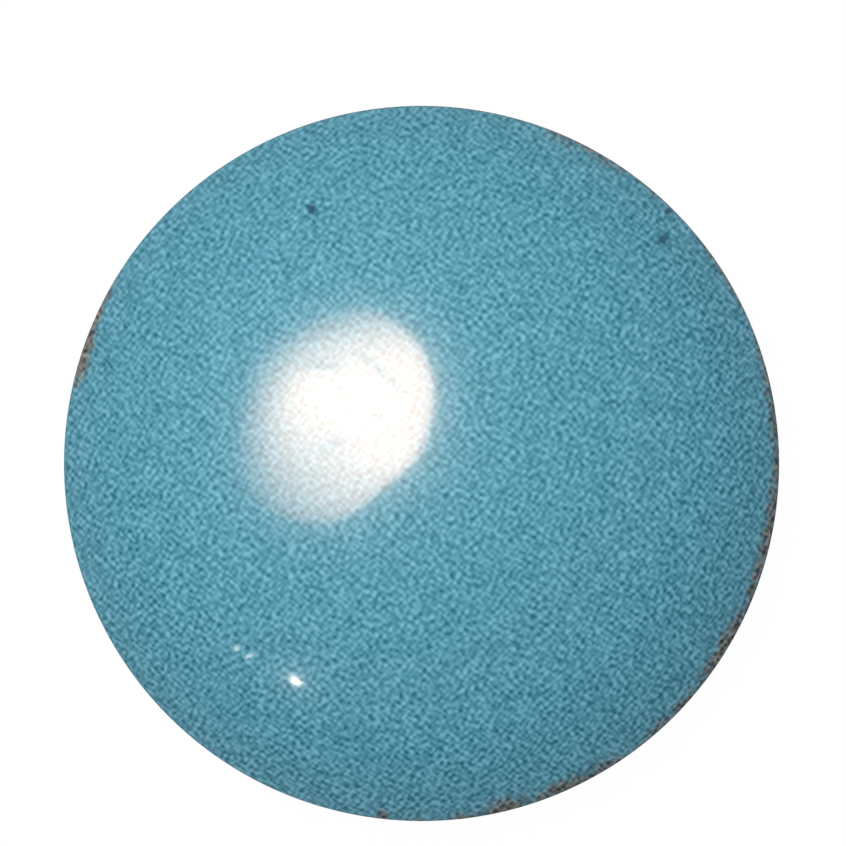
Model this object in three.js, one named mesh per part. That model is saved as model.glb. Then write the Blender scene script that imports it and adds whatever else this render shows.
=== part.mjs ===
// A round turquoise cabochon: one polished stone with a domed crown, a low girdle wall and a flat back.
// The brown host rock along its girdle was ground flush with the turquoise, so it has no relief here.
// Millimetres, +Z up, with the origin at the centre of the flat back.
import * as THREE from "three";

// Driving dimensions
const GIRDLE_DIAMETER = 16; // a calibrated round, at the widest point of the stone
const BACK_BEVEL = 0.4; // 45 degree bevel that keeps the back's rim from chipping
const WALL_HEIGHT = 0.9; // what a bezel grips, above the bevel
const WALL_LEAN = degrees(8); // the wall leans in towards the crown, for the bezel to close over
const EDGE_RADIUS = 0.35; // softened edge between the wall and the dome
const SHOULDER_TILT = degrees(52); // slope of the dome where it meets that edge
const CROWN_TILT = degrees(28); // slope where the flatter crown passes into the shoulder
const CROWN_RADIUS = 11; // curvature of the crown

// Facets
const SEGMENTS = 128; // round the girdle
const RING_GROWTH = 8; // how many facets a ring has more than the ring above it, up to that number
const CROWN_STEPS = 7;
const SHOULDER_STEPS = 8;
const EDGE_STEPS = 4;

const UPRIGHT = Math.PI / 2;

function degrees(angle) {
  return THREE.MathUtils.degToRad(angle);
}

// The direction that a surface of the given tilt faces, in the plane of the outline.
function facing(tilt) {
  return new THREE.Vector2(Math.sin(tilt), Math.cos(tilt));
}

// Points along a round stretch of the outline, between two tilts of the surface.
function roundStretch(centre, radius, fromTilt, toTilt, steps) {
  const [start, end] = [UPRIGHT - fromTilt, UPRIGHT - toTilt];
  return new THREE.EllipseCurve(centre.x, centre.y, radius, radius, start, end, true).getPoints(steps);
}

// Half of the stone's upright section, from the top of the crown to the middle of the back.
// Crown, shoulder, edge and wall run into each other with no corner.
function outline() {
  const girdleRadius = GIRDLE_DIAMETER / 2;
  const wallFoot = new THREE.Vector2(girdleRadius, BACK_BEVEL);
  const wallInset = WALL_HEIGHT * Math.tan(WALL_LEAN);
  const wallTop = new THREE.Vector2(girdleRadius - wallInset, BACK_BEVEL + WALL_HEIGHT);
  const wallTilt = UPRIGHT - WALL_LEAN;

  const edgeCentre = wallTop.clone().addScaledVector(facing(wallTilt), -EDGE_RADIUS);
  const edgeTop = edgeCentre.clone().addScaledVector(facing(SHOULDER_TILT), EDGE_RADIUS);

  // The shoulder's radius is the one that takes the crown's rim out to the edge.
  const crownReach = CROWN_RADIUS * Math.sin(CROWN_TILT);
  const shoulderRadius = (edgeTop.x - crownReach) / (Math.sin(SHOULDER_TILT) - Math.sin(CROWN_TILT));
  const shoulderCentre = edgeTop.clone().addScaledVector(facing(SHOULDER_TILT), -shoulderRadius);
  const crownRim = shoulderCentre.clone().addScaledVector(facing(CROWN_TILT), shoulderRadius);
  const crownCentre = new THREE.Vector2(0, crownRim.y - CROWN_RADIUS * Math.cos(CROWN_TILT));

  return [
    ...roundStretch(crownCentre, CROWN_RADIUS, 0, CROWN_TILT, CROWN_STEPS),
    ...roundStretch(shoulderCentre, shoulderRadius, CROWN_TILT, SHOULDER_TILT, SHOULDER_STEPS).slice(1),
    ...roundStretch(edgeCentre, EDGE_RADIUS, SHOULDER_TILT, wallTilt, EDGE_STEPS).slice(1),
    wallFoot,
    new THREE.Vector2(girdleRadius - BACK_BEVEL, 0),
    new THREE.Vector2(0, 0),
  ];
}

// Facets between two neighbouring rings, the upper one first. A ring with no count is a single point.
function stitched(upper, lower) {
  const facets = [];
  let [i, k] = [0, 0];
  while (i < upper.count || k < lower.count) {
    const lowerIsNext = (k + 1) * upper.count <= (i + 1) * lower.count;
    if (lowerIsNext) {
      facets.push(upper.at(i), lower.at(k), lower.at(k + 1));
      k += 1;
    } else {
      facets.push(upper.at(i), lower.at(k), upper.at(i + 1));
      i += 1;
    }
  }
  return facets;
}

// The solid that the outline makes when it is turned round the upright axis.
// Its rings gain points away from the top, so that the facets of the dome are all of about one size.
function turned(points) {
  const places = [];
  const rings = points.map(({ x: reach, y: height }, index) => {
    const isPole = index === 0 || index === points.length - 1;
    const count = isPole ? 0 : Math.min(RING_GROWTH * index, SEGMENTS);
    const start = places.length;
    for (let k = 0; k < Math.max(count, 1); k += 1) {
      const turn = isPole ? 0 : (k / count) * 2 * Math.PI;
      places.push(new THREE.Vector3(reach * Math.cos(turn), reach * Math.sin(turn), height));
    }
    return { count, at: (k) => start + (isPole ? 0 : k % count) };
  });
  const geometry = new THREE.BufferGeometry().setFromPoints(places);
  geometry.setIndex(rings.slice(1).flatMap((lower, above) => stitched(rings[above], lower)));
  geometry.computeVertexNormals();
  return geometry;
}

function turquoiseStone() {
  const polished = new THREE.MeshStandardMaterial({ color: 0x4d9cb3, roughness: 0.2, metalness: 0 });
  const stone = new THREE.Mesh(turned(outline()), polished);
  stone.name = "turquoise_cabochon";
  return stone;
}

const cabochon = new THREE.Group();
cabochon.add(turquoiseStone());

export default cabochon;
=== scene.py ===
"""Looks of a round turquoise cabochon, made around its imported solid.

One polished stone lies on its flat back: a smooth dome, a low girdle wall stained with brown host
rock, and a lapped back. Metres, +Z up, with the origin at the centre of the back.
"""

import logging
import math
from dataclasses import dataclass, field
from enum import Enum
from typing import Any

import bpy
import numpy as np
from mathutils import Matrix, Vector, noise

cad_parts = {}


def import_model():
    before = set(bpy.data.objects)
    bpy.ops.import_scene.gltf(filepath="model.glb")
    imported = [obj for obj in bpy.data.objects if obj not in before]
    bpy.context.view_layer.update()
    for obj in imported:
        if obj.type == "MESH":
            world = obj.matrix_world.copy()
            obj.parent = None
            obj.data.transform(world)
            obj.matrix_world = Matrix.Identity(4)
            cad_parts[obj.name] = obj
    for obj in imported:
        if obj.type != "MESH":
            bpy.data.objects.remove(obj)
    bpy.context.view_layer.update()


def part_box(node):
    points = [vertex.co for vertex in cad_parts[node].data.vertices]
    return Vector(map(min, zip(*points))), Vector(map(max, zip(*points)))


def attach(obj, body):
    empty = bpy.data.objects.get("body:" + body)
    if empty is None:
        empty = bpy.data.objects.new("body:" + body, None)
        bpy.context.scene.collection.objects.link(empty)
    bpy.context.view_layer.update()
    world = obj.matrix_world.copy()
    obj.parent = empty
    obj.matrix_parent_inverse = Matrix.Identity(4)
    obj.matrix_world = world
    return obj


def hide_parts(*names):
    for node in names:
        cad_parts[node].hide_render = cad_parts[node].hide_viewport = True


# Short names for what every material's code hands round
Tree = bpy.types.NodeTree
Socket = bpy.types.NodeSocket

LOG = logging.getLogger("cabochon")
STONE_NODE = "turquoise_cabochon"
ROCK = "host_rock"
GRAIN = "grain_place"
# How strong the mottling is at each point, raised at the dim rim and on the shaded side as painted
# contrast
GRAIN_STRENGTH = "grain_strength"
BUFFED_WEIGHT = "buffed_weight"
MM = 0.001

# Sockets of a colour Mix node, whose names repeat
MIX_FACTOR, MIX_A, MIX_B, MIX_RESULT = 0, 6, 7, 2

MIDDLE_TONE = 0.5
NOISE_MEAN = 0.5
# Spacing of the rings in a wave texture of scale 1
WAVE_SPACING = 0.3


def linear(colour: str) -> tuple[float, float, float, float]:
    """Turns an sRGB colour into linear light.

    Args:
        colour: six hex digits.

    Returns:
        Red, green and blue, with an alpha of 1.
    """
    shown = [int(colour[i : i + 2], 16) / 255 for i in (0, 2, 4)]
    light = [c / 12.92 if c <= 0.04045 else ((c + 0.055) / 1.055) ** 2.4 for c in shown]
    return (*light, 1.0)


def add_node(
    tree: Tree,
    kind: str,
    settings: dict[str, Any] | None = None,
    inputs: dict[str | int, Any] | None = None,
) -> bpy.types.Node:
    """Adds one node, with its settings made and its inputs set or linked.

    Args:
        tree: the tree that the node goes in.
        kind: Blender's name for the kind of node.
        settings: the node's own properties.
        inputs: a value, or the socket to link, for each input by name or place.

    Returns:
        The new node.
    """
    node = tree.nodes.new(kind)
    for name, value in (settings or {}).items():
        setattr(node, name, value)
    for key, value in (inputs or {}).items():
        if isinstance(value, Socket):
            tree.links.new(value, node.inputs[key])
        else:
            node.inputs[key].default_value = value
    return node


def new_material(name: str) -> tuple[bpy.types.Material, Tree]:
    """Makes a material with an empty node tree.

    Args:
        name: what the material is and how its surface was made.

    Returns:
        The material and its tree.
    """
    material = bpy.data.materials.new(name)
    material.use_nodes = True
    material.node_tree.nodes.clear()
    return material, material.node_tree


@dataclass(frozen=True)
class Mark:
    """An oval mark on a face, seen from above.

    Attributes:
        x: place across the face.
        y: place up the face.
        width: size along the mark's own X.
        length: size along the mark's own Y.
        turn: degrees, counterclockwise.
    """

    x: float
    y: float
    width: float
    length: float
    turn: float = 0.0


def off_mark(tree: Tree, place: Socket, mark: Mark) -> Socket:
    """Adds how far a point is from the middle of a mark.

    Args:
        tree: the material's tree.
        place: the point, level with the mark.
        mark: the mark.

    Returns:
        The distance, with 1 at the mark's edge.
    """
    own_place = add_node(
        tree,
        "ShaderNodeMapping",
        {"vector_type": "TEXTURE"},
        {
            "Vector": place,
            "Location": (mark.x, mark.y, 0.0),
            "Rotation": (0.0, 0.0, math.radians(mark.turn)),
            "Scale": (mark.width / 2, mark.length / 2, 1.0),
        },
    ).outputs[0]
    return add_node(tree, "ShaderNodeVectorMath", {"operation": "LENGTH"}, {0: own_place}).outputs["Value"]


@dataclass(frozen=True)
class Stain:
    """A stretch of the girdle's edge that host rock colours, with some of the dome and of the wall.

    Attributes:
        at: degrees round the girdle, counterclockwise from +X.
        length: size along the girdle.
        reach: how far in from the edge it spreads over the dome before it is gone.
        strength: how thick it is at the edge, where about 1 hides the turquoise.
    """

    at: float
    length: float
    reach: float
    strength: float


@dataclass(frozen=True)
class TurquoiseBody:
    """The colour of the stone itself, which every finish of it shares.

    Turquoise is an opaque mass of tiny crystals. Close to, it shows short crossing threads of paler and
    deeper blue, about a sixth of a millimetre apart, and only the faintest clouds on a larger scale.
    """

    deep: str = "2D7B8F"
    middle: str = "60A8BC"
    pale: str = "8BCEE1"
    thread_width: float = 0.09 * MM
    thread_length: float = 0.175 * MM
    thread_turns: tuple[float, ...] = (50.0, 140.0)
    thread_slant: tuple[float, float] = (35.0, 20.0)
    thread_contrast: float = 0.84
    cloud: float = 0.5 * MM
    cloud_contrast: float = 0.45

    def tone(self, tree: Tree, place: Socket) -> Socket:
        """Adds the mottling: how pale the stone is, from 0 to 1.

        Args:
            tree: the material's tree.
            place: the point on the stone.

        Returns:
            The tone's value.
        """
        clouds = add_node(
            tree, "ShaderNodeTexNoise", None, {"Vector": place, "Scale": 1 / self.cloud, "Detail": 2.0}
        )
        tone = add_node(
            tree,
            "ShaderNodeMath",
            {"operation": "MULTIPLY_ADD"},
            {0: clouds.outputs["Fac"], 1: self.cloud_contrast, 2: (1.0 - self.cloud_contrast) / 2},
        ).outputs[0]
        for turn in self.thread_turns:
            tone = add_node(
                tree,
                "ShaderNodeMath",
                {"operation": "MULTIPLY_ADD", "use_clamp": turn == self.thread_turns[-1]},
                {0: self._threads(tree, place, turn), 1: self.thread_contrast, 2: tone},
            ).outputs[0]
        return tone

    def _threads(self, tree: Tree, place: Socket, turn: float) -> Socket:
        """Adds one way of threads: the slope, across them, of noise that is drawn out along them.

        Args:
            tree: the material's tree.
            place: the point on the stone.
            turn: degrees from +X to the way across the threads, counterclockwise.

        Returns:
            A value around 0.
        """
        across = math.radians(turn)
        step = 0.3 * self.thread_width
        own_region = 10.0 * self.thread_length * turn
        sides = []
        for side in (step, -step):
            drawn_out = add_node(
                tree,
                "ShaderNodeMapping",
                {"vector_type": "TEXTURE"},
                {
                    "Vector": place,
                    "Location": (side * math.cos(across), side * math.sin(across), own_region),
                    "Rotation": (*(math.radians(slant) for slant in self.thread_slant), across),
                    "Scale": (self.thread_width, self.thread_length, self.thread_length),
                },
            )
            sides.append(
                add_node(
                    tree,
                    "ShaderNodeTexNoise",
                    None,
                    {"Vector": drawn_out.outputs[0], "Scale": 1.0, "Detail": 0.0},
                )
            )
        slope = add_node(
            tree,
            "ShaderNodeMath",
            {"operation": "SUBTRACT"},
            {0: sides[0].outputs["Fac"], 1: sides[1].outputs["Fac"]},
        )
        return slope.outputs[0]

    def colour(self, tree: Tree, tone: Socket) -> Socket:
        """Adds the stone's colour for its tone.

        Args:
            tree: the material's tree.
            tone: how pale the stone is, from 0 to 1.

        Returns:
            The colour.
        """
        ramp = add_node(tree, "ShaderNodeValToRGB", None, {"Fac": tone})
        stops = ramp.color_ramp.elements
        stops[0].color = linear(self.deep)
        stops[1].color = linear(self.pale)
        stops.new(MIDDLE_TONE).color = linear(self.middle)
        return ramp.outputs["Color"]


@dataclass(frozen=True)
class PolishedTurquoise:
    """Turquoise ground, sanded and buffed to a high polish, with host rock left dull at its girdle.

    The buffed skin mirrors a lamp with a crisp edge, and the fine pores under it spread a faint haze
    round the reflection. Limonite rock is softer, so it stays grey-brown, rough and without a polish.
    """

    name: str = "buffed_turquoise"
    body: TurquoiseBody = TurquoiseBody()
    rock_dark: str = "2E2723"
    rock_light: str = "A3978C"
    speck: str = "28566E"
    hairline: str = "2C7489"
    fleck: str = "D8F6FF"
    specks: tuple[Mark, ...] = (
        Mark(-2.31 * MM, 5.42 * MM, 0.24 * MM, 0.38 * MM, 30.0),
        Mark(5.20 * MM, 4.85 * MM, 0.32 * MM, 0.28 * MM, 15.0),
        Mark(5.44 * MM, 5.54 * MM, 0.24 * MM, 0.20 * MM, 40.0),
    )
    hairlines: tuple[Mark, ...] = (Mark(-6.757 * MM, 2.18 * MM, 0.56 * MM, 0.08 * MM, -49.0),)
    flecks: tuple[Mark, ...] = (
        Mark(-3.894 * MM, -3.86 * MM, 0.24 * MM, 0.15 * MM, 55.0),
        Mark(-3.64 * MM, -4.02 * MM, 0.30 * MM, 0.12 * MM, 25.0),
    )
    ragged: float = 0.10 * MM
    mark_core: float = 0.75
    mark_edge: float = 1.7
    mark_cover: float = 0.9
    roughness: float = 0.26
    under_gloss: float = 0.56
    rock_roughness: float = 0.75
    index: float = 1.61
    polish: float = 1.0
    polish_roughness: float = 0.085
    grain_relief: float = 0.00025 * MM
    rock_grit: float = 0.18 * MM
    rock_relief: float = 0.01 * MM
    rock_start: float = 0.2
    rock_full: float = 0.8
    rock_cover: float = 0.92

    def material(self) -> bpy.types.Material:
        """Makes the material.

        Returns:
            The material.
        """
        material, tree = new_material(self.name)
        place = add_node(tree, "ShaderNodeAttribute", {"attribute_name": GRAIN}).outputs["Vector"]
        tone = self._strengthened(tree, self.body.tone(tree, place))
        colour = self.body.colour(tree, tone)
        colour = self._marked(tree, place, colour, self.hairlines, self.hairline)
        colour = self._marked(tree, place, colour, self.specks, self.speck)
        colour = self._marked(tree, place, colour, self.flecks, self.fleck)
        grit = add_node(
            tree, "ShaderNodeTexNoise", None, {"Vector": place, "Scale": 1 / self.rock_grit, "Detail": 3.0}
        ).outputs["Fac"]
        rock = self._rock(tree, grit)
        normal = self._relief(tree, tone, rock, grit)
        rough = add_node(
            tree,
            "ShaderNodeMapRange",
            None,
            {"Value": rock, "To Min": self.roughness, "To Max": self.rock_roughness},
        ).outputs["Result"]
        coat = add_node(
            tree, "ShaderNodeMapRange", None, {"Value": rock, "To Min": self.polish, "To Max": 0.0}
        ).outputs["Result"]
        surface = add_node(
            tree,
            "ShaderNodeBsdfPrincipled",
            None,
            {
                "Base Color": self._with_rock(tree, colour, tone, rock),
                "Roughness": rough,
                "IOR": self.index,
                "Specular IOR Level": self.under_gloss,
                "Coat Weight": coat,
                "Coat Roughness": self.polish_roughness,
                "Coat IOR": self.index,
                "Normal": normal,
                "Coat Normal": normal,
            },
        )
        add_node(tree, "ShaderNodeOutputMaterial", None, {"Surface": surface.outputs[0]})
        return material

    @staticmethod
    def _strengthened(tree: Tree, tone: Socket) -> Socket:
        """Adds how strong the mottling is at each place, raised where the stone lies in shade as painted
        contrast.

        Args:
            tree: the material's tree.
            tone: how pale the stone is, with the same strength all over.

        Returns:
            The tone, further from its middle where the mottling is strong.
        """
        strength = add_node(tree, "ShaderNodeAttribute", {"attribute_name": GRAIN_STRENGTH})
        off_middle = add_node(
            tree, "ShaderNodeMath", {"operation": "SUBTRACT"}, {0: tone, 1: MIDDLE_TONE}
        )
        return add_node(
            tree,
            "ShaderNodeMath",
            {"operation": "MULTIPLY_ADD", "use_clamp": True},
            {0: off_middle.outputs[0], 1: strength.outputs["Fac"], 2: MIDDLE_TONE},
        ).outputs[0]

    def _marked(
        self,
        tree: Tree,
        place: Socket,
        colour: Socket,
        marks: tuple[Mark, ...],
        paint: str,
    ) -> Socket:
        """Adds small marks of one colour, with ragged edges.

        Args:
            tree: the material's tree.
            place: the point on the stone.
            colour: the colour without the marks.
            marks: where they are.
            paint: their colour.

        Returns:
            The colour with the marks.
        """
        wander = add_node(
            tree, "ShaderNodeTexNoise", None, {"Vector": place, "Scale": 1 / self.ragged, "Detail": 1.0}
        )
        for mark in marks:
            edge = add_node(
                tree,
                "ShaderNodeMath",
                {"operation": "ADD"},
                {0: off_mark(tree, place, mark), 1: wander.outputs["Fac"]},
            )
            cover = add_node(
                tree,
                "ShaderNodeMapRange",
                {"interpolation_type": "SMOOTHSTEP"},
                {
                    "Value": edge.outputs[0],
                    "From Min": self.mark_core,
                    "From Max": self.mark_edge,
                    "To Min": self.mark_cover,
                    "To Max": 0.0,
                },
            )
            colour = add_node(
                tree,
                "ShaderNodeMix",
                {"data_type": "RGBA"},
                {MIX_FACTOR: cover.outputs["Result"], MIX_A: colour, MIX_B: linear(paint)},
            ).outputs[MIX_RESULT]
        return colour

    def _rock(self, tree: Tree, grit: Socket) -> Socket:
        """Adds where host rock shows, broken up by its own grit.

        Args:
            tree: the material's tree.
            grit: the rock's own grain.

        Returns:
            Nearly one on rock, nothing on turquoise.
        """
        painted = add_node(tree, "ShaderNodeAttribute", {"attribute_name": ROCK})
        uneven = add_node(tree, "ShaderNodeMath", {"operation": "MULTIPLY"}, {0: grit, 1: 1 / NOISE_MEAN})
        broken = add_node(
            tree,
            "ShaderNodeMath",
            {"operation": "MULTIPLY"},
            {0: painted.outputs["Fac"], 1: uneven.outputs[0]},
        )
        return add_node(
            tree,
            "ShaderNodeMapRange",
            {"interpolation_type": "SMOOTHSTEP"},
            {
                "Value": broken.outputs[0],
                "From Min": self.rock_start,
                "From Max": self.rock_full,
                "To Max": self.rock_cover,
            },
        ).outputs["Result"]

    def _with_rock(self, tree: Tree, colour: Socket, tone: Socket, rock: Socket) -> Socket:
        """Adds the colour of the host rock.

        Args:
            tree: the material's tree.
            colour: the colour of the turquoise.
            tone: how pale the stone is, from 0 to 1.
            rock: where host rock shows.

        Returns:
            The colour of both.
        """
        rock_colour = add_node(
            tree,
            "ShaderNodeMix",
            {"data_type": "RGBA"},
            {MIX_FACTOR: tone, MIX_A: linear(self.rock_dark), MIX_B: linear(self.rock_light)},
        ).outputs[MIX_RESULT]
        return add_node(
            tree,
            "ShaderNodeMix",
            {"data_type": "RGBA"},
            {MIX_FACTOR: rock, MIX_A: colour, MIX_B: rock_colour},
        ).outputs[MIX_RESULT]

    def _relief(self, tree: Tree, tone: Socket, rock: Socket, grit: Socket) -> Socket:
        """Adds the finest relief: a trace of the grain in the polish, and grit where there is rock.

        Args:
            tree: the material's tree.
            tone: how pale the stone is, from 0 to 1.
            rock: where host rock shows.
            grit: the rock's own grain.

        Returns:
            The way that the surface faces.
        """
        skin = add_node(
            tree, "ShaderNodeBump", None, {"Height": tone, "Distance": self.grain_relief, "Strength": 1.0}
        ).outputs["Normal"]
        rocky = add_node(
            tree, "ShaderNodeMath", {"operation": "MULTIPLY"}, {0: rock, 1: grit}
        ).outputs[0]
        return add_node(
            tree,
            "ShaderNodeBump",
            None,
            {"Height": rocky, "Distance": self.rock_relief, "Strength": 1.0, "Normal": skin},
        ).outputs["Normal"]


@dataclass(frozen=True)
class LappedTurquoise:
    """The back of the stone, ground flat on a lap and left unpolished.

    A lap leaves a duller face with fine curved scratches, and host rock shows as a few thin brown veins.
    """

    name: str = "lapped_turquoise"
    body: TurquoiseBody = TurquoiseBody()
    vein: str = "5B5142"
    vein_cover: float = 0.7
    vein_spacing: float = 8.0 * MM
    vein_thin: float = 0.008 * MM
    vein_thick: float = 0.28 * MM
    vein_thin_below: float = 0.4
    vein_thick_above: float = 0.62
    bend: float = 2.4 * MM
    bend_reach: float = 1.44 * MM
    roughness: float = 0.62
    index: float = 1.61
    # Spacing of the scratches, which a lap leaves finer than a render can show
    scratch: float = 0.09 * MM
    scratch_waver: float = 6.0
    scratch_relief: float = 0.004 * MM

    def material(self) -> bpy.types.Material:
        """Makes the material.

        Returns:
            The material.
        """
        material, tree = new_material(self.name)
        place = add_node(tree, "ShaderNodeTexCoord").outputs["Object"]
        colour = self._veined(tree, place, self.body.colour(tree, self.body.tone(tree, place)))
        rings = add_node(
            tree,
            "ShaderNodeTexWave",
            {"wave_type": "RINGS", "rings_direction": "Z"},
            {
                "Vector": place,
                "Scale": WAVE_SPACING / self.scratch,
                "Distortion": self.scratch_waver,
                "Detail": 3.0,
            },
        )
        lapped = add_node(
            tree,
            "ShaderNodeBump",
            None,
            {"Height": rings.outputs["Fac"], "Distance": self.scratch_relief, "Strength": 1.0},
        )
        surface = add_node(
            tree,
            "ShaderNodeBsdfPrincipled",
            None,
            {
                "Base Color": colour,
                "Roughness": self.roughness,
                "IOR": self.index,
                "Normal": lapped.outputs["Normal"],
            },
        )
        add_node(tree, "ShaderNodeOutputMaterial", None, {"Surface": surface.outputs[0]})
        return material

    def _veined(self, tree: Tree, place: Socket, colour: Socket) -> Socket:
        """Adds bent veins of host rock that swell and thin out.

        Args:
            tree: the material's tree.
            place: the point on the back.
            colour: the colour without the veins.

        Returns:
            The colour with the veins.
        """
        bend = add_node(
            tree, "ShaderNodeTexNoise", None, {"Vector": place, "Scale": 1 / self.bend, "Detail": 4.0}
        )
        bent = add_node(
            tree,
            "ShaderNodeVectorMath",
            {"operation": "MULTIPLY_ADD"},
            {0: bend.outputs["Color"], 1: (self.bend_reach,) * 3, 2: place},
        )
        cells = add_node(
            tree,
            "ShaderNodeTexVoronoi",
            {"feature": "DISTANCE_TO_EDGE"},
            {"Vector": bent.outputs[0], "Scale": 1 / self.vein_spacing},
        )
        thickness = add_node(
            tree,
            "ShaderNodeMapRange",
            {"interpolation_type": "SMOOTHSTEP"},
            {
                "Value": bend.outputs["Fac"],
                "From Min": self.vein_thin_below,
                "From Max": self.vein_thick_above,
                "To Min": self.vein_thin / self.vein_spacing,
                "To Max": self.vein_thick / self.vein_spacing,
            },
        )
        vein = add_node(
            tree,
            "ShaderNodeMapRange",
            {"interpolation_type": "SMOOTHSTEP"},
            {
                "Value": cells.outputs["Distance"],
                "From Max": thickness.outputs["Result"],
                "To Min": self.vein_cover,
                "To Max": 0.0,
            },
        )
        return add_node(
            tree,
            "ShaderNodeMix",
            {"data_type": "RGBA"},
            {MIX_FACTOR: vein.outputs["Result"], MIX_A: colour, MIX_B: linear(self.vein)},
        ).outputs[MIX_RESULT]


class Face(Enum):
    """The faces of the stone that are finished differently, by their material slots."""

    BUFFED = 0
    LAPPED = 1


@dataclass
class Section:
    """Half of the stone's upright section, from the top of the dome to the middle of the back.

    A surface's tilt is 0 where it faces up, 90 where it faces out and 180 where it faces down.
    """

    girdle_radius: float
    back_bevel: float = 0.4 * MM
    wall_height: float = 0.9 * MM
    wall_lean: float = 8.0
    edge_radius: float = 0.35 * MM
    shoulder_tilt: float = 52.0
    crown_tilt: float = 28.0
    crown_radius: float = 11.0 * MM
    corner_radius: float = 0.08 * MM
    bevel_tilt: float = 135.0
    back_tilt: float = 180.0
    crown_steps: int = 48
    shoulder_steps: int = 44
    edge_steps: int = 6
    wall_steps: int = 20
    corner_steps: int = 4
    bevel_steps: int = 8
    back_steps: int = 24

    @staticmethod
    def facing(tilt: float) -> Vector:
        """The way that a surface of this tilt faces, as (outwards, up)."""
        return Vector((math.sin(math.radians(tilt)), math.cos(math.radians(tilt))))

    @staticmethod
    def heading(tilt: float) -> Vector:
        """The way that the outline runs on along a surface of this tilt."""
        return Vector((math.cos(math.radians(tilt)), -math.sin(math.radians(tilt))))

    @property
    def wall_tilt(self) -> float:
        """The tilt of the girdle wall."""
        return 90.0 - self.wall_lean

    @property
    def wall_top(self) -> Vector:
        """Where the wall ends under the softened edge."""
        inset = self.wall_height * math.tan(math.radians(self.wall_lean))
        return Vector((self.girdle_radius - inset, self.back_bevel + self.wall_height))

    @property
    def edge_centre(self) -> Vector:
        """The middle of the softened edge's round."""
        return self.wall_top - self.edge_radius * self.facing(self.wall_tilt)

    @property
    def edge_top(self) -> Vector:
        """Where the dome ends above the softened edge."""
        return self.edge_centre + self.edge_radius * self.facing(self.shoulder_tilt)

    def arc(self, centre: Vector, radius: float, start: float, end: float, steps: int) -> list[Vector]:
        """Points of a round stretch, from one tilt of its surface to another in equal steps."""
        tilts = np.linspace(start, end, steps + 1)
        return [centre + radius * self.facing(float(tilt)) for tilt in tilts]

    def corner(self, point: Vector, start: float, end: float, steps: int) -> list[Vector]:
        """A corner between two straight stretches, softened.

        Args:
            point: where the stretches would meet.
            start: the tilt before the corner.
            end: the tilt after it.
            steps: how many pieces it has.

        Returns:
            Its points.
        """
        cut = self.corner_radius * math.tan(math.radians(end - start) / 2)
        first = point - cut * self.heading(start)
        centre = first - self.corner_radius * self.facing(start)
        return self.arc(centre, self.corner_radius, start, end, steps)

    @staticmethod
    def straight(start: Vector, end: Vector, steps: int) -> list[Vector]:
        """Points between two ends of a straight stretch, without the ends."""
        return [start.lerp(end, i / steps) for i in range(1, steps)]

    def points(self) -> list[Vector]:
        """Works the outline out.

        Returns:
            Its points, closer together where the stone is detailed.
        """
        edge_top = self.edge_top
        crown_reach = self.crown_radius * self.facing(self.crown_tilt).x
        widening = self.facing(self.shoulder_tilt).x - self.facing(self.crown_tilt).x
        shoulder_radius = (edge_top.x - crown_reach) / widening
        shoulder_centre = edge_top - shoulder_radius * self.facing(self.shoulder_tilt)
        crown_rim = shoulder_centre + shoulder_radius * self.facing(self.crown_tilt)
        crown_centre = Vector((0.0, crown_rim.y - self.crown_radius * self.facing(self.crown_tilt).y))

        crown = self.arc(crown_centre, self.crown_radius, 0.0, self.crown_tilt, self.crown_steps)
        shoulder = self.arc(
            shoulder_centre, shoulder_radius, self.crown_tilt, self.shoulder_tilt, self.shoulder_steps
        )
        edge = self.arc(
            self.edge_centre, self.edge_radius, self.shoulder_tilt, self.wall_tilt, self.edge_steps
        )
        foot = Vector((self.girdle_radius, self.back_bevel))
        foot_round = self.corner(foot, self.wall_tilt, self.bevel_tilt, self.corner_steps)
        back_rim = Vector((self.girdle_radius - self.back_bevel, 0.0))
        rim_round = self.corner(back_rim, self.bevel_tilt, self.back_tilt, self.corner_steps)
        middle = Vector((0.0, 0.0))
        return [
            *crown,
            *shoulder[1:],
            *edge[1:],
            *self.straight(edge[-1], foot_round[0], self.wall_steps),
            *foot_round,
            *self.straight(foot_round[-1], rim_round[0], self.bevel_steps),
            *rim_round,
            *self.straight(rim_round[-1], middle, self.back_steps),
            middle,
        ]


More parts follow.
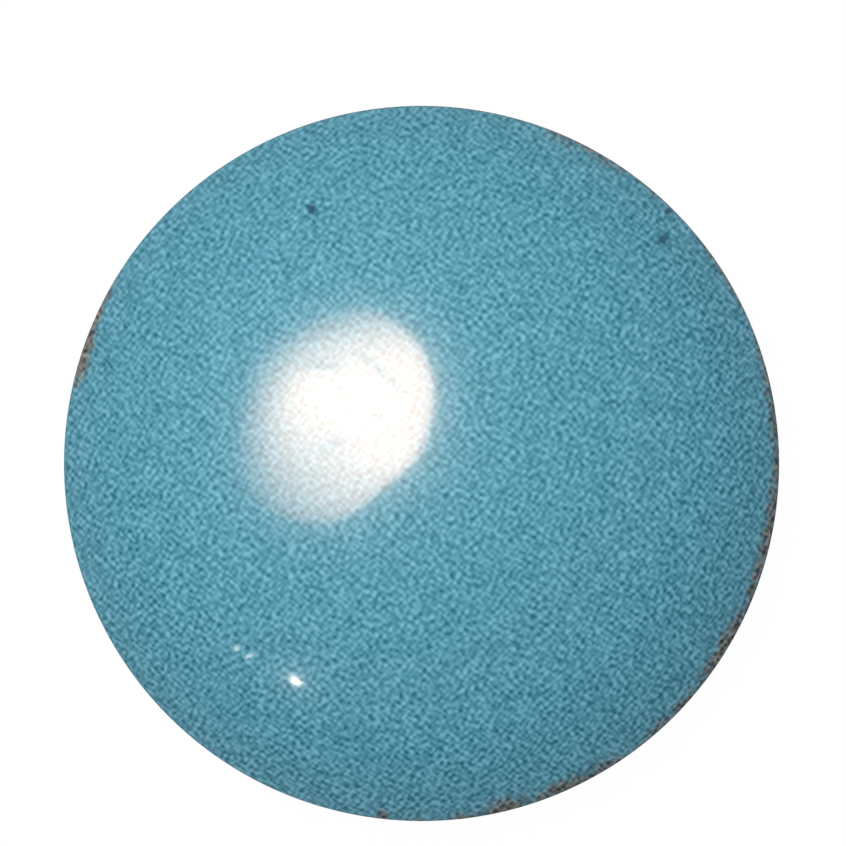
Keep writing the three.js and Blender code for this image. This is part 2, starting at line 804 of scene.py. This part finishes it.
@dataclass
class Cabochon:
    """The stone: turned to its section, stained where it has host rock, and finished face by face."""

    section: Section
    name: str = "turquoise_stone"
    segments: int = 512
    stains: tuple[Stain, ...] = (
        Stain(157.5, 3.6 * MM, 0.28 * MM, 1.1),
        Stain(162.2, 2.0 * MM, 0.46 * MM, 1.25),
        Stain(167.5, 1.8 * MM, 0.25 * MM, 0.4),
        Stain(66.0, 2.0 * MM, 0.70 * MM, 0.58),
        Stain(59.0, 2.2 * MM, 0.60 * MM, 0.6),
        Stain(50.0, 1.2 * MM, 0.25 * MM, 0.6),
        Stain(32.0, 3.4 * MM, 0.32 * MM, 0.65),
        Stain(6.0, 6.5 * MM, 0.42 * MM, 0.8),
        Stain(-13.0, 5.5 * MM, 0.50 * MM, 1.0),
        Stain(-31.0, 2.8 * MM, 0.53 * MM, 1.15),
        Stain(-45.0, 3.8 * MM, 0.45 * MM, 0.8),
        Stain(-59.0, 1.6 * MM, 0.50 * MM, 0.95),
        Stain(-66.0, 2.1 * MM, 0.55 * MM, 1.05),
        Stain(-76.0, 1.8 * MM, 0.68 * MM, 0.95),
        Stain(-83.0, 1.3 * MM, 0.40 * MM, 0.75),
        Stain(-91.0, 0.9 * MM, 0.40 * MM, 0.6),
        Stain(-96.3, 0.46 * MM, 0.55 * MM, 0.95),
    )
    # Painted contrast: the grain is made stronger towards the dim rim and on the shaded side, to make up
    # for the shade there
    grain_strength: float = 0.95
    grain_strength_at_dim_rim: float = 1.25
    shaded_side: float = 300.0
    grain_boost_on_shaded_side: float = 0.24
    rock_drop: float = 0.4
    rock_patch: float = 0.5 * MM
    rock_breaking: float = 1.6
    hand_waver: float = 4.0 * MM
    hand_waver_height: float = 0.008 * MM
    weld: float = 0.0001 * MM
    buffed: PolishedTurquoise = field(default_factory=PolishedTurquoise)
    lapped: LappedTurquoise = field(default_factory=LappedTurquoise)

    def build(self) -> bpy.types.Object:
        """Makes the stone and finishes it.

        Returns:
            The stone, riding on the part's body.
        """
        stone = self._turn()
        places = self._places(stone)
        self._lay_out(stone, places)
        self._lay_grain(stone, places)
        self._strengthen_grain_in_shade(stone, places)
        self._mark_rock(stone, places)
        self._waver(stone, places)
        self._dress(stone)
        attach(stone, "root")
        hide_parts(STONE_NODE)
        return stone

    def _turn(self) -> bpy.types.Object:
        """Draws the section point by point and turns it round the upright axis.

        Returns:
            The stone, with no finish yet.
        """
        points = self.section.points()
        bpy.ops.object.select_all(action="DESELECT")
        bpy.ops.mesh.primitive_plane_add(size=MM, location=(0.0, 0.0, points[0].y))
        stone = bpy.context.object
        stone.name = self.name
        bpy.ops.object.transform_apply(location=True, rotation=True, scale=True)
        bpy.ops.object.mode_set(mode="EDIT")
        bpy.ops.mesh.merge(type="CENTER")
        for here, there in zip(points, points[1:]):
            step = there - here
            bpy.ops.mesh.extrude_region_move(TRANSFORM_OT_translate={"value": (step.x, 0.0, step.y)})
        bpy.ops.object.mode_set(mode="OBJECT")
        lathe = stone.modifiers.new("lathe", "SCREW")
        lathe.axis = "Z"
        lathe.angle = math.tau
        lathe.steps = self.segments
        lathe.render_steps = self.segments
        lathe.use_merge_vertices = True
        lathe.merge_threshold = self.weld
        bpy.ops.object.modifier_apply(modifier=lathe.name)
        bpy.ops.object.mode_set(mode="EDIT")
        bpy.ops.mesh.select_all(action="SELECT")
        bpy.ops.mesh.remove_doubles(threshold=self.weld)
        bpy.ops.mesh.normals_make_consistent(inside=False)
        bpy.ops.object.mode_set(mode="OBJECT")
        bpy.ops.object.shade_smooth()
        return stone

    @staticmethod
    def _places(stone: bpy.types.Object) -> np.ndarray:
        """Reads where the stone's points are.

        Args:
            stone: the turned stone.

        Returns:
            One row for each point.
        """
        flat = np.empty(3 * len(stone.data.vertices))
        stone.data.vertices.foreach_get("co", flat)
        return flat.reshape(-1, 3)

    def _lay_out(self, stone: bpy.types.Object, places: np.ndarray) -> None:
        """Lays the surface out flat for baking, as two discs: the dome with its wall, and the back.

        Args:
            stone: the turned stone.
            places: its points.
        """
        outline = np.array(self.section.points())
        run = np.concatenate([[0.0], np.cumsum(np.hypot(*np.diff(outline, axis=0).T))])
        reach = np.hypot(places[:, 0], places[:, 1])
        turn = np.arctan2(places[:, 1], places[:, 0])
        heart = self.section.wall_top.y / 2
        sweep = np.arctan2(reach, places[:, 2] - heart)
        along = np.interp(sweep, np.arctan2(outline[:, 0], outline[:, 1] - heart), run)
        mesh = stone.data
        corners = np.empty(len(mesh.loops), dtype=int)
        mesh.loops.foreach_get("vertex_index", corners)
        normals = np.empty(3 * len(mesh.polygons))
        mesh.polygons.foreach_get("normal", normals)
        counts = np.empty(len(mesh.polygons), dtype=int)
        mesh.polygons.foreach_get("loop_total", counts)
        facing_down = -0.9
        back = np.repeat(normals.reshape(-1, 3)[:, 2] < facing_down, counts)
        dome_share, back_share, margin = 0.405, 0.175, 0.005
        back_start = run[-1] - (self.section.girdle_radius - self.section.back_bevel)
        radius = np.where(
            back,
            (run[-1] - along[corners]) / (run[-1] - back_start) * back_share,
            along[corners] / back_start * dome_share,
        )
        centre = np.where(back, 1.0 - back_share - margin, dome_share + margin)
        angle = turn[corners]
        spots = np.stack([centre + radius * np.cos(angle), centre + radius * np.sin(angle)], axis=1)
        layer = mesh.uv_layers.new(name="OFBake")
        layer.data.foreach_set("uv", spots.ravel())

    def _lay_grain(self, stone: bpy.types.Object, places: np.ndarray) -> None:
        """Lays the grain over the dome as it is seen from above, and on down the edge and the wall.

        Args:
            stone: the turned stone.
            places: its points.
        """
        edge = self.section.edge_top
        reach = np.hypot(places[:, 0], places[:, 1])
        down = np.clip(edge.y - places[:, 2], 0.0, None)
        spread = (np.minimum(reach, edge.x) + down) / np.maximum(reach, self.weld)
        spots = places * np.stack([spread, spread, np.zeros_like(spread)], axis=1)
        attribute = stone.data.attributes.new(GRAIN, "FLOAT_VECTOR", "POINT")
        attribute.data.foreach_set("vector", spots.ravel())

    def _strengthen_grain_in_shade(self, stone: bpy.types.Object, places: np.ndarray) -> None:
        """Makes the mottling stronger towards the rim, and more so on the shaded side of the stone:
        painted contrast that makes up for the shade, which dims the grain where less light falls.

        Args:
            stone: the turned stone.
            places: its points.
        """
        rim = np.minimum(np.hypot(places[:, 0], places[:, 1]) / self.section.edge_top.x, 1.0)
        side = np.arctan2(places[:, 1], places[:, 0]) - math.radians(self.shaded_side)
        strength = self.grain_strength + (self.grain_strength_at_dim_rim - self.grain_strength) * rim**4
        # Painted contrast on the side that the key lamp leaves in shade
        strength += self.grain_boost_on_shaded_side * rim**2 * np.cos(side)
        attribute = stone.data.attributes.new(GRAIN_STRENGTH, "FLOAT", "POINT")
        attribute.data.foreach_set("value", strength)

    def _mark_rock(self, stone: bpy.types.Object, places: np.ndarray) -> None:
        """Paints where host rock lies: thickest at the edge, and breaking up into patches down the wall.

        Args:
            stone: the turned stone.
            places: its points.
        """
        edge = self.section.wall_top
        inward = np.clip(edge.x - np.hypot(places[:, 0], places[:, 1]), 0.0, None)
        down = np.clip(edge.y - places[:, 2], 0.0, None)
        painted = np.zeros(len(places))
        for stain in self.stains:
            drop = min(self.rock_drop * stain.length, self.section.wall_height)
            lengthwise = np.clip(1 - self._along(places, stain.at, stain.length) ** 2, 0, None)
            inwards = np.clip(1 - inward / stain.reach, 0, None)
            painted = np.maximum(painted, stain.strength * (lengthwise * inwards - (down / drop) ** 2))
        loosened = self.rock_breaking * np.clip(2 * down / self.rock_patch, 0, 1)
        painted *= np.clip(1 + loosened * self._patches(places), 0, None)
        attribute = stone.data.attributes.new(ROCK, "FLOAT", "POINT")
        attribute.data.foreach_set("value", painted)

    def _patches(self, places: np.ndarray) -> np.ndarray:
        """Works out patches of host rock.

        Args:
            places: the stone's points.

        Returns:
            A value round 0 for each point.
        """
        fineness, spread, octaves = 1.0, 2.0, 3
        return np.array(
            [noise.fractal(Vector(place) / self.rock_patch, fineness, spread, octaves) for place in places]
        )

    def _along(self, places: np.ndarray, at: float, length: float) -> np.ndarray:
        """How far points lie along the girdle from a place on it.

        Args:
            places: the points.
            at: the place, in degrees round the girdle.
            length: the stretch round that place that counts as 1 on both sides.

        Returns:
            The distance in half lengths, with its sign.
        """
        turn = np.degrees(np.arctan2(places[:, 1], places[:, 0]))
        swing = np.radians((turn - at + 180.0) % 360.0 - 180.0)
        return 2 * self.section.girdle_radius * swing / length

    def _waver(self, stone: bpy.types.Object, places: np.ndarray) -> None:
        """Gives the buffed face the slight waver of hand grinding.

        Args:
            stone: the turned stone.
            places: its points.
        """
        buffed = stone.vertex_groups.new(name=BUFFED_WEIGHT)
        buffed.add(np.flatnonzero(places[:, 2] > self.section.back_bevel).tolist(), 1.0, "REPLACE")
        bpy.context.view_layer.objects.active = stone
        relief = stone.modifiers.new("waver", "DISPLACE")
        relief.strength = self.hand_waver_height
        relief.vertex_group = buffed.name
        relief.texture_coords = "LOCAL"
        relief.texture = bpy.data.textures.new("waver", "CLOUDS")
        relief.texture.noise_scale = self.hand_waver
        bpy.ops.object.modifier_apply(modifier=relief.name)

    def _dress(self, stone: bpy.types.Object) -> None:
        """Gives the back and its bevel a lapped finish, and the rest of the stone a buffed one.

        Args:
            stone: the turned stone.
        """
        for finish in (self.buffed, self.lapped):
            stone.data.materials.append(finish.material())
        top, facing_down = 0.9 * self.section.back_bevel, -0.5
        for polygon in stone.data.polygons:
            lapped = polygon.center.z < top and polygon.normal.z < facing_down
            polygon.material_index = (Face.LAPPED if lapped else Face.BUFFED).value


class Reach(Enum):
    """What a lamp shows on: the stone's body colour, or the mirror of its polish."""

    BODY = "body"
    POLISH = "polish"


@dataclass(frozen=True)
class Lamp:
    """A round lamp that faces the stone.

    Attributes:
        name: what the lamp is.
        off_axis: degrees off the upright.
        azimuth: degrees round, counterclockwise from +X.
        width: the lamp's diameter.
        glow: how bright its face is.
        tint: the colour of its light.
        reach: what it shows on.
    """

    name: str
    off_axis: float
    azimuth: float
    width: float
    glow: float
    tint: str
    reach: Reach


@dataclass(frozen=True)
class Horizon:
    """How light the surroundings are, by how steeply a direction points up, from -1 to 1.

    Attributes:
        low: up to where they are as light as the ground.
        high: from where they are as light as the sky.
        ground: how light the ground is.
        sky: how light the sky is.
    """

    low: float
    high: float
    ground: float
    sky: float


@dataclass(frozen=True)
class Fade:
    """A straight, soft edge of the light card.

    Attributes:
        way: the direction across the edge, as a unit vector.
        dark: how far along it the card is still dark.
        bright: how far along it the card is fully bright.
    """

    way: tuple[float, float]
    dark: float
    bright: float


@dataclass
class Studio:
    """A plain white floor, soft light from above and a camera that looks straight down.

    The camera is close enough for the stone's edge to hide the leaning wall under it.
    """

    outline: Vector
    lens: float = 100.0
    sensor: float = 36.0
    picture: float = 846.0
    outline_radius_px: float = 357.53
    right_px: float = 1.47
    above_px: float = 40.57
    sweep_radius: float = 250.0 * MM
    sweep_corners: int = 96
    sweep_gap: float = 0.01 * MM
    sweep_rise: float = 300.0 * MM
    sweep_steps: int = 8
    sweep_flare: float = 1.1
    sweep_colour: str = "202020"
    sweep_glow: float = 0.985
    sky_tint: str = "DAF4FF"
    soft_light: Horizon = Horizon(-0.3, 0.3, 0.11, 0.546)
    mirrored_light: Horizon = Horizon(-0.6, 0.2, 0.22, 0.06)
    lamp_distance: float = 300.0 * MM
    lamps: tuple[Lamp, ...] = (
        Lamp("key", 26.3, 134.0, 150.0 * MM, 10.0, "FFF2EE", Reach.BODY),
        Lamp("glint", 64.1, 240.1, 12.0 * MM, 30.0, "FFFBEF", Reach.POLISH),
    )
    card_tint: str = "FFD3BA"
    card_glow: float = 10.7
    card_height: float = 250.0 * MM
    card_width: float = 600.0 * MM
    card_round: Mark = Mark(-142.0 * MM, 70.25 * MM, 324.0 * MM, 292.5 * MM)
    card_round_dark: float = 0.985
    card_round_bright: float = 0.93
    card_fades: tuple[Fade, ...] = (
        Fade((-0.627, 0.779), 2.5 * MM, 5.5 * MM),
        Fade((0.984, -0.178), -263.75 * MM, -165.5 * MM),
        Fade((0.260, -0.966), -225.0 * MM, -117.5 * MM),
        Fade((0.553, 0.833), -177.25 * MM, -6.75 * MM),
    )
    card_creases: tuple[Mark, ...] = (
        Mark(-46.0 * MM, 100.0 * MM, 120.0 * MM, 13.0 * MM, -43.0),
        Mark(-123.0 * MM, 116.0 * MM, 110.0 * MM, 13.0 * MM, -11.0),
        Mark(-98.0 * MM, 20.0 * MM, 64.0 * MM, 11.0 * MM, 26.0),
        Mark(-48.0 * MM, 47.0 * MM, 46.0 * MM, 9.0 * MM, 44.0),
    )
    card_crease_shade: float = 0.8

    def build(self) -> None:
        """Sets up the floor, the lights and the camera."""
        self._sweep()
        self._sky()
        for lamp in self.lamps:
            self._lamp(lamp)
        self._card()
        self._camera()
        bpy.context.scene.view_settings.view_transform = "Standard"

    def _sweep(self) -> None:
        """Adds the white floor, which turns up into a backdrop all round."""
        bpy.ops.object.select_all(action="DESELECT")
        bpy.ops.mesh.primitive_circle_add(
            vertices=self.sweep_corners,
            radius=self.sweep_radius,
            fill_type="NGON",
            location=(0.0, 0.0, -self.sweep_gap),
        )
        sweep = bpy.context.object
        sweep.name = "sweep"
        bpy.ops.object.mode_set(mode="EDIT")
        bpy.ops.mesh.select_mode(type="EDGE")
        bpy.ops.mesh.select_all(action="SELECT")
        bpy.ops.mesh.region_to_loop()
        step_up = (0.0, 0.0, self.sweep_rise / self.sweep_steps)
        for _ in range(self.sweep_steps):
            bpy.ops.mesh.extrude_region_move(TRANSFORM_OT_translate={"value": step_up})
            bpy.ops.transform.resize(value=(self.sweep_flare, self.sweep_flare, 1.0))
        bpy.ops.object.mode_set(mode="OBJECT")
        material, tree = new_material("backlit_acrylic")
        diffuse = add_node(tree, "ShaderNodeBsdfDiffuse", None, {"Color": linear(self.sweep_colour)})
        glow = add_node(tree, "ShaderNodeEmission", None, {"Strength": self.sweep_glow})
        both = add_node(tree, "ShaderNodeAddShader", None, {0: diffuse.outputs[0], 1: glow.outputs[0]})
        add_node(tree, "ShaderNodeOutputMaterial", None, {"Surface": both.outputs[0]})
        sweep.data.materials.append(material)
        sweep.visible_diffuse = False
        sweep.visible_glossy = False
        sweep.visible_shadow = False

    def _sky(self) -> None:
        """Adds soft light from all round above, and dark flags there for what the polish mirrors."""
        world = bpy.data.worlds.new("studio")
        world.use_nodes = True
        tree = world.node_tree
        tree.nodes.clear()
        way = add_node(tree, "ShaderNodeTexCoord").outputs["Generated"]
        up = add_node(tree, "ShaderNodeSeparateXYZ", None, {0: way}).outputs["Z"]
        soft, mirrored = (
            add_node(
                tree,
                "ShaderNodeMapRange",
                {"interpolation_type": "SMOOTHSTEP"},
                {
                    "Value": up,
                    "From Min": horizon.low,
                    "From Max": horizon.high,
                    "To Min": horizon.ground,
                    "To Max": horizon.sky,
                },
            ).outputs["Result"]
            for horizon in (self.soft_light, self.mirrored_light)
        )
        is_mirror = add_node(tree, "ShaderNodeLightPath").outputs["Is Glossy Ray"]
        level = add_node(
            tree, "ShaderNodeMix", {"data_type": "FLOAT"}, {"Factor": is_mirror, "A": soft, "B": mirrored}
        ).outputs["Result"]
        light = add_node(
            tree, "ShaderNodeBackground", None, {"Color": linear(self.sky_tint), "Strength": level}
        )
        add_node(tree, "ShaderNodeOutputWorld", None, {"Surface": light.outputs[0]})
        bpy.context.scene.world = world

    def _lamp(self, lamp: Lamp) -> None:
        """Hangs a lamp.

        Args:
            lamp: the lamp.
        """
        tilt, turn = math.radians(lamp.off_axis), math.radians(lamp.azimuth)
        way = Vector((math.sin(tilt) * math.cos(turn), math.sin(tilt) * math.sin(turn), math.cos(tilt)))
        light = bpy.data.lights.new(lamp.name, "AREA")
        light.shape = "DISK"
        light.size = lamp.width
        light.color = linear(lamp.tint)[:3]
        light.energy = lamp.glow * math.pi * math.pi * (lamp.width / 2) ** 2
        hung = bpy.data.objects.new(lamp.name, light)
        hung.location = self.lamp_distance * way
        hung.rotation_euler = (-way).to_track_quat("-Z", "Y").to_euler()
        hung.visible_diffuse = lamp.reach is Reach.BODY
        hung.visible_glossy = lamp.reach is Reach.POLISH
        bpy.context.scene.collection.objects.link(hung)

    def _card(self) -> None:
        """Adds the light card overhead whose mirror image is the broad highlight."""
        bpy.ops.object.select_all(action="DESELECT")
        bpy.ops.mesh.primitive_plane_add(size=self.card_width, location=(0.0, 0.0, self.card_height))
        card = bpy.context.object
        card.name = "light_card"
        material, tree = new_material("light_card")
        spot = add_node(tree, "ShaderNodeTexCoord").outputs["Object"]
        shown = self._creased(tree, spot, self._round_edge(tree, spot))
        for fade in self.card_fades:
            along = add_node(
                tree, "ShaderNodeVectorMath", {"operation": "DOT_PRODUCT"}, {0: spot, 1: (*fade.way, 0.0)}
            ).outputs["Value"]
            part = add_node(
                tree,
                "ShaderNodeMapRange",
                None,
                {"Value": along, "From Min": fade.dark, "From Max": fade.bright},
            ).outputs["Result"]
            shown = add_node(
                tree, "ShaderNodeMath", {"operation": "MULTIPLY"}, {0: shown, 1: part}
            ).outputs[0]
        power = add_node(
            tree, "ShaderNodeMath", {"operation": "MULTIPLY"}, {0: shown, 1: self.card_glow}
        ).outputs[0]
        glow = add_node(
            tree, "ShaderNodeEmission", None, {"Color": linear(self.card_tint), "Strength": power}
        )
        clear = add_node(tree, "ShaderNodeBsdfTransparent")
        both = add_node(tree, "ShaderNodeAddShader", None, {0: glow.outputs[0], 1: clear.outputs[0]})
        add_node(tree, "ShaderNodeOutputMaterial", None, {"Surface": both.outputs[0]})
        card.data.materials.append(material)
        card.visible_camera = False
        card.visible_diffuse = False
        card.visible_shadow = False

    def _round_edge(self, tree: Tree, spot: Socket) -> Socket:
        """Adds the card's rounded side.

        Args:
            tree: the card's tree.
            spot: the point on the card.

        Returns:
            One inside, nothing outside.
        """
        return add_node(
            tree,
            "ShaderNodeMapRange",
            None,
            {
                "Value": off_mark(tree, spot, self.card_round),
                "From Min": self.card_round_dark,
                "From Max": self.card_round_bright,
            },
        ).outputs["Result"]

    def _creased(self, tree: Tree, spot: Socket, shown: Socket) -> Socket:
        """Adds the faint creases in the card's cloth.

        Args:
            tree: the card's tree.
            spot: the point on the card.
            shown: how much of the card's light shows without them.

        Returns:
            How much of it shows with them.
        """
        for crease in self.card_creases:
            light = add_node(
                tree,
                "ShaderNodeMapRange",
                {"interpolation_type": "SMOOTHSTEP"},
                {"Value": off_mark(tree, spot, crease), "To Min": 1.0 - self.card_crease_shade},
            ).outputs["Result"]
            shown = add_node(
                tree, "ShaderNodeMath", {"operation": "MULTIPLY"}, {0: shown, 1: light}
            ).outputs[0]
        return shown

    def _camera(self) -> None:
        """Adds the camera, straight above and set so that the outline has its place in the picture."""
        pixel = self.outline.x / self.outline_radius_px
        distance = pixel * self.picture * self.lens / self.sensor
        data = bpy.data.cameras.new("camera")
        data.lens = self.lens
        data.sensor_width = self.sensor
        data.clip_start = MM
        camera = bpy.data.objects.new("camera", data)
        camera.location = (
            self.right_px * pixel,
            self.above_px * pixel,
            self.outline.y + distance,
        )
        bpy.context.scene.collection.objects.link(camera)
        bpy.context.scene.camera = camera


def main() -> None:
    """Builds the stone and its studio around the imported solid."""
    logging.basicConfig(level=logging.INFO, format="%(name)s: %(message)s")
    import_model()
    low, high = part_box(STONE_NODE)
    girdle_radius = (high.x - low.x) / 2
    section = Section(girdle_radius)
    stone = Cabochon(section).build()
    LOG.info("%s: %d faces", stone.name, len(stone.data.polygons))
    Studio(section.wall_top).build()
    LOG.info("studio set up")


if __name__ == "__main__":
    main()
